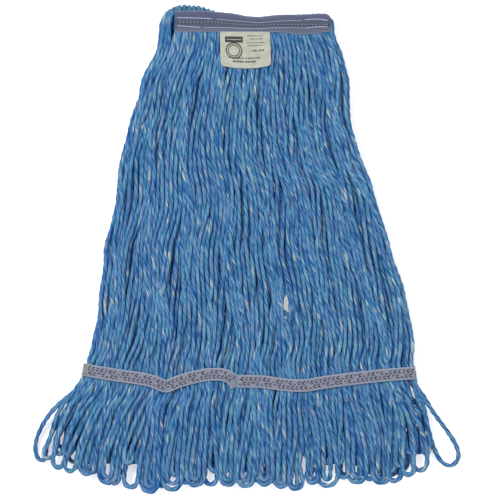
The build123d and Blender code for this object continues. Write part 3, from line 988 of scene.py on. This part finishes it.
def on_headband(x, y, raised=0.15):
    """A point on the tape's outer face, straight above x and y."""
    line = headband_points(x, raised)
    z = np.interp(y, line[:, 1], line[:, 2]) if y <= line[:, 1].max() else line[line[:, 1].argmax(), 2]
    return np.array([x, min(y, line[:, 1].max()), z])


def headband():
    xs = np.linspace(TAPE_LEFT, TAPE_RIGHT, 149)
    o = cloth("headband_tape_cloth", np.array([headband_points(x) for x in xs]), TAPE_THICK, HEADBAND_LOOK)
    piece(o, ("headband_tape",), "front_half")


# The stitch rows on the headband, x and y. The rows of straight stitch are thick near both ends.
UPPER_ROW = np.array([
    (-73.5, 3.3), (-52, 2.9), (-33, 1.7), (-13, -0.2), (3, -1.5), (19, -0.4), (29, 0.5), (46, 0.7),
    (50, 1.7), (60, 2.1), (70, 0.6),
], float)
MIDDLE_ROW = np.array([(-73, -1.2), (-36, -1.3), (-26, -2.4), (-5, -4.0), (14, -3.6), (70, -3.3)], float)
LOWER_ROW = np.array([
    (-73.5, -4.2), (-50, -6.1), (-28, -6.0), (-11, -7.0), (3, -7.3), (16, -6.3), (38, -6.1), (46, -6.8),
    (60, -5.3), (70, -5.4),
], float)
THICK_ROWS = ((-73.5, -36.0), (47.0, 70.0))


def dashes(row, x_from, x_to, stitch, gap):
    """Straight stitches along a row, from one x to another."""
    lines, x = [], x_from
    while x + stitch <= x_to:
        middle = [on_headband(v, float(between(row, v))) for v in np.linspace(x, x + stitch, 6)]
        middle[0][2] -= 0.4
        middle[-1][2] -= 0.4
        lines.append(np.array(middle))
        x += stitch + gap
    return lines


def sewn(name, material, groups, body="front_half", replaced=()):
    """One mesh of sewing thread from groups of lines, each group with its own thickness."""
    tubes = Tubes(groups[0][0], 6, False)
    lines = [(line, thick) for thick, group in groups for line in group]
    for number, (line, thick) in enumerate(lines):
        tubes.thick = thick
        tubes.add(line, number % 97)
    piece(tubes.mesh(name, material), replaced, body)


def headband_stitching():
    thick, thin = [], []
    (left, left_end), (right_start, right) = THICK_ROWS
    for row, reach in ((UPPER_ROW, 0), (LOWER_ROW, -12)):
        thick += dashes(row, left, left_end + reach, 5.2, 0.3) + dashes(row, right_start, right, 5.2, 0.3)
        thin += dashes(row, left_end + reach, right_start, 2.9, 0.6)
    dark, pale = [], []
    for number, x in enumerate(np.arange(-72.5, 70, 1.65)):
        y = float(between(MIDDLE_ROW, x)) + (0.15 if number % 2 else -0.15)
        tick = [on_headband(x + v, y + 0.8 * v, 0.12) for v in (-0.4, -0.15, 0.15, 0.4)]
        (pale if number % 2 else dark).append(np.array(tick))
    for name, material, groups in (
        ("headband_pale_stitches", PALE_THREAD, [(0.85, thick), (0.55, thin)]),
        ("headband_zigzag", DARK_THREAD, [(1.25, dark)]),
        ("headband_zigzag_pale", PALE_THREAD, [(0.8, pale)]),
    ):
        sewn(name, material, groups, replaced=("headband_stitches",))


def headband_lining():
    """The inner tape: over the channel inside the fold and down its end wall."""
    low, high = np.array(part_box("headband_inner_tape")) / MM
    thick = 0.8
    wall, roof = high[1] - thick, high[2] - thick
    turn = np.linspace(0, math.pi / 2, 6)
    corner = np.stack([wall - 0.7 + 0.7 * np.cos(turn), roof - 0.7 + 0.7 * np.sin(turn)], 1)
    section = np.vstack([
        np.stack([np.full(6, wall), np.linspace(low[2], roof - 0.8, 6)], 1), corner,
        np.stack([np.linspace(wall - 1.0, low[1], 24), np.full(24, roof)], 1),
    ])
    xs = np.linspace(low[0], high[0], 130)
    top = np.empty((len(xs), len(section), 3))
    top[..., 0] = xs[:, None]
    top[..., 1:] = section[None]
    o = cloth("headband_lining", top, thick, HEADBAND_LOOK)
    piece(o, ("headband_inner_tape",), "front_half")


def band_frame(line, gap):
    """Points about gap apart along a band's middle line, and its directions there, in the plane."""
    flat = np.column_stack([line, np.zeros(len(line))])
    points = even(eased(even(flat, 1.0), 0.5, 8), gap)[:, :2]
    heading = unit(np.gradient(points, axis=0))
    return points, heading, np.stack([-heading[:, 1], heading[:, 0]], 1)


def tail_band(name, line, height, thickness, body, node, facing=1):
    """A length of tail band, with its face up (1) or down (-1). height gives its face's z at x."""
    points, _, side = band_frame(line, 1.0)
    across = np.linspace(-0.5, 0.5, 15) * facing
    top = np.empty((len(points), len(across), 3))
    top[..., :2] = points[:, None] + TAIL_WIDTH * across[None, :, None] * side[:, None]
    top[..., 2] = height(top[..., 0], top[..., 1])
    top[..., 2] -= facing * 0.25 * (2 * np.abs(across)) ** 4
    o = piece(cloth(name, top, thickness, TAIL_LOOK), (node,), body)


def laid(flat, height, lift):
    """A line of thread over a face, from its points in the plane and how far each is above it."""
    return np.column_stack([flat, height(flat[:, 0], flat[:, 1]) + lift])


def front_band_z(x, y):
    return TAIL_TOP + 0.22 * np.sin(x / 6.5 + 0.4) + 0.12 * np.sin(x / 2.9 + y / 5.0)


def left_band_z(x, y):
    """The left length dips at its cut end, under the right one."""
    return front_band_z(x, y) - smooth((x + 27) / 9) ** 2


def right_band_z(x, y):
    return front_band_z(x, y) + 0.5 * smooth((-5 - x) / 10)


CHAIN_PITCH = 4.2
CHAIN_ROWS = (-2.2, 2.2)


def chain_loops(line, height):
    """Two rows of chain stitch along a band: each stitch a drop-shaped pale loop over a dark V, which stands
    partly for dark thread and partly for painted shade in the stitch holes.
    """
    points, heading, side = band_frame(line, CHAIN_PITCH)
    turn = np.linspace(0, TURN, 13)
    loops, marks = [], []
    for row, offset in enumerate(CHAIN_ROWS):
        for number, (place, ahead, left) in enumerate(zip(points[1:-1], heading[1:-1], side[1:-1])):
            uneven = math.sin(2.3 * number + 1.7 * row)
            tilt = (0.3 if row == 0 else -0.3) + 0.15 * uneven
            along = (2.3 + 0.25 * uneven) * np.cos(turn)
            wide = (1.6 + 0.2 * uneven) * np.sin(turn) * (0.72 + 0.28 * np.cos(turn))
            shift = row * CHAIN_PITCH / 2
            flat = place + (along[:, None] + shift) * ahead + (wide + tilt * along + offset)[:, None] * left
            loops.append(laid(flat, height, 0.16 + 0.12 * np.cos(turn)))
            # The dark V: partly dark thread, partly painted shade where the loops meet the band.
            for leg in (-1, 1):
                if math.sin(5.1 * number + 2.0 * row + 1.3 * leg) > 0.92:
                    continue
                reach = np.array([-1.4, -0.5, 0.5, 1.5]) * (1 + 0.2 * uneven)
                spread = leg * (0.25 + 0.45 * (reach + 1.4)) + offset
                flat = place + (reach[:, None] + shift - 1.0) * ahead + spread[:, None] * left
                marks.append(laid(flat, height, (0.0, 0.18, 0.18, 0.0)))
    return loops, marks


def level_at(value):
    return lambda x, y: np.full(np.shape(x), value, float)


def run_stitches(line, height, facing):
    """Two rows of plain stitches, the underside of a row of chain stitch."""
    points, _, side = band_frame(line, 0.9)
    lift = facing * np.array([-0.2, 0.15, 0.15, -0.2])
    return [laid(points[i:i + 4] + offset * side[i:i + 4], height, lift)
            for offset in CHAIN_ROWS for i in range(2, len(points) - 4, 4)]


def tail_bands():
    loops, marks = [], []
    for name, line, chain, height in (
        ("tail_band_left", TAIL_LEFT, TAIL_LEFT[:-1], left_band_z),
        ("tail_band_right", TAIL_RIGHT, TAIL_RIGHT, right_band_z),
    ):
        tail_band(name, line, height, TAIL_THICK, "front_half", "front_tail_tape_outer")
        some_loops, some_marks = chain_loops(chain, height)
        loops += some_loops
        marks += some_marks
    sewn("tail_chain_stitches", GREY_THREAD, [(0.55, loops)], replaced=("front_tail_stitches",))
    # Dark V marks under the loops: partly dark thread, partly painted shade in the stitch holes.
    sewn("tail_chain_dark_marks_and_shade", DARK_THREAD, [(0.95, marks)], replaced=("front_tail_stitches",))
    points, heading, side = (values[0] for values in band_frame(TAIL_LEFT, 1.0))
    overcast = []
    for number, offset in enumerate(np.linspace(-5.2, 5.2, 6)):
        lean = 0.5 if number % 2 else -0.5
        reach = np.array([4.6, 3.0, 1.2, -0.3, -0.7, -0.6])
        drift = np.array([lean, lean * 0.6, 0.2, 0, 0, 0])
        flat = points + reach[:, None] * heading + (offset + drift[:, None]) * side
        overcast.append(laid(flat, front_band_z, (-0.1, 0.22, 0.25, 0.2, -0.5, -1.1)))
    across = np.linspace(-5.8, 5.8, 14)
    flat = points + (4.6 + 0.4 * np.sin(2.1 * across))[:, None] * heading + across[:, None] * side
    overcast.append(laid(flat, front_band_z, 0.3))
    sewn("tail_overcast", CREAM_THREAD, [(0.8, overcast)])
    for name, node, body, facing in (
        ("tail_band_front_inner", "front_tail_tape_inner", "front_half", -1),
        ("tail_band_back_outer", "back_tail_tape_outer", "back_half", -1),
        ("tail_band_back_inner", "back_tail_tape_inner", "back_half", 1),
    ):
        low, high = np.array(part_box(node)) / MM
        line = np.array([(low[0], BACK_TAIL_Y), (high[0], BACK_TAIL_Y)])
        height = level_at(low[2] + 0.15 if facing < 0 else high[2] - 0.15)
        tail_band(name, line, height, high[2] - low[2] - 0.15, body, node, facing)
        sewn(f"{name}_stitches", DARK_THREAD, [(0.5, run_stitches(line, height, facing))], body)


LABEL_WIDTH, LABEL_THICK, LABEL_CORNER = 47.5, 0.4, 3.2


def label():
    """The label hangs from the headband's lower edge; its lower edge is bowed and curls a little."""
    columns, rows = 57, 41
    u = np.linspace(0, 1, columns)
    x_top, x_low = -33.2 + 47.3 * u, -32.6 + 47.9 * u
    t = 2 * u - 1
    low_y = -41.9 - 2.9 * (1 - t * t)
    inward = LABEL_WIDTH * np.minimum(u, 1 - u)
    notch = np.clip(LABEL_CORNER - inward, 0, LABEL_CORNER)
    low_y += LABEL_CORNER - np.sqrt(LABEL_CORNER ** 2 - notch ** 2)
    v = np.linspace(1, 0, rows)
    grid = np.empty((columns, rows, 3))
    grid[..., 0] = x_top[:, None] + (x_low - x_top)[:, None] * v
    grid[..., 1] = -9.6 + (low_y + 9.6)[:, None] * v
    curl = 0.45 * (v ** 3)[None, :] * (t ** 4)[:, None] + 0.12 * np.sin(3.2 * t)[:, None] * v[None, :]
    grid[..., 2] = 24.72 + curl + 0.1 * np.sin(7 * v)[None, :] * (1 - t * t)[:, None]
    o = cloth("label_cloth", grid, LABEL_THICK, LABEL_LOOK)
    piece(o, ("label",), "label")


headband()
headband_stitching()
headband_lining()
tail_bands()
label()

# ---- ground, light and camera ------------------------------------------------------------------
VIEW_X, VIEW_Y = -4.75, -216.6  # the point that the camera looks straight down at
VIEW_SIDE = 475.0  # how much of the ground its square picture takes in
VIEW_Z = 15.0
CAMERA_HEIGHT = 2.6
GROUND = 3.0  # from the ground's middle to its sides


def ground():
    mesh = bpy.data.meshes.new("ground")
    corners = [(x * GROUND, y * GROUND, 0) for x, y in ((-1, -1), (1, -1), (1, 1), (-1, 1))]
    mesh.from_pydata(corners, [], [(0, 1, 2, 3)])
    look = Look("pale_ground")
    look.feed(look.shader, {"Base Color": grey(0.9), "Roughness": 0.8,
                            "Emission Color": grey(1), "Emission Strength": 0.45})
    mesh.materials.append(look.material)
    o = new_object("ground", mesh)
    o.location = (VIEW_X * MM, VIEW_Y * MM, -0.0002)


def area_light(name, place, size, power):
    light = bpy.data.lights.new(name, "AREA")
    light.size, light.energy = size, power
    o = new_object(name, light)
    o.location = place
    o.rotation_mode = "QUATERNION"
    towards = Vector((VIEW_X * MM, VIEW_Y * MM, 0.0)) - Vector(place)
    o.rotation_quaternion = towards.to_track_quat("-Z", "Y")


ground()
area_light("key", (-0.9, 0.5, 1.6), 0.8, 26)
area_light("fill", (1.2, -0.9, 1.8), 1.6, 12)
world = bpy.data.worlds.new("studio")
world.use_nodes = True
background = world.node_tree.nodes["Background"]
background.inputs["Color"].default_value = (0.95, 0.97, 1.0, 1)
background.inputs["Strength"].default_value = 0.65
bpy.context.scene.world = world
bpy.context.scene.view_settings.view_transform = "Standard"

camera = bpy.data.cameras.new("camera")
camera.sensor_width = 36.0
camera.lens = 36.0 * (CAMERA_HEIGHT - VIEW_Z * MM) / (VIEW_SIDE * MM)
eye = new_object("camera", camera)
eye.location = (VIEW_X * MM, VIEW_Y * MM, CAMERA_HEIGHT)
bpy.context.scene.camera = eye
